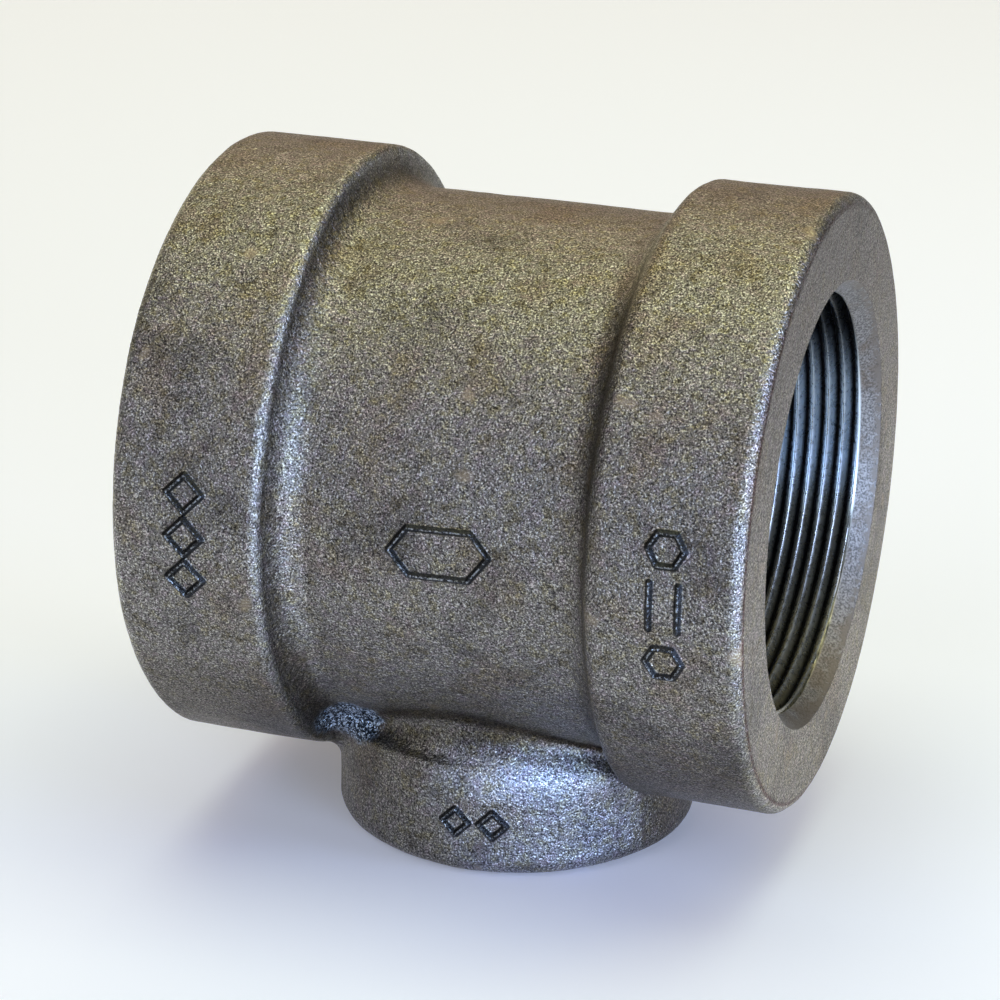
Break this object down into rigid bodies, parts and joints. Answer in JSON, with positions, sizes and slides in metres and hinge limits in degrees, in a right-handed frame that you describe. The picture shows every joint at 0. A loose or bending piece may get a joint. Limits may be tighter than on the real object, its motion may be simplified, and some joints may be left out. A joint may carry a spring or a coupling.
{
  "type": "reducing pipe tee",
  "caption": "Cast-iron pipe tee with two equal threaded run ends in line and a smaller threaded outlet square to them.",
  "frame": {"origin": "centre of the outlet's end face, which the part stands on", "axes": "+X along the run, +Z from the outlet's end face up to the run axis, +Y square to both"},
  "size_m": [0.0856, 0.0834, 0.0922],
  "materials": {
    "as_cast_iron": "sand-cast skin, dark grey-brown with a fine metallic grain and faint rust",
    "cut_iron": "machined thread and chamfer, smooth blue-grey, oiled, dark in the roots"
  },
  "bodies": {
    "root": {"barrel": "as_cast_iron", "run_band_left": "as_cast_iron", "run_band_right": "as_cast_iron", "outlet_band": "as_cast_iron", "run_thread_left": "cut_iron", "run_thread_right": "cut_iron", "outlet_thread": "cut_iron"}
  },
  "joints": []
}
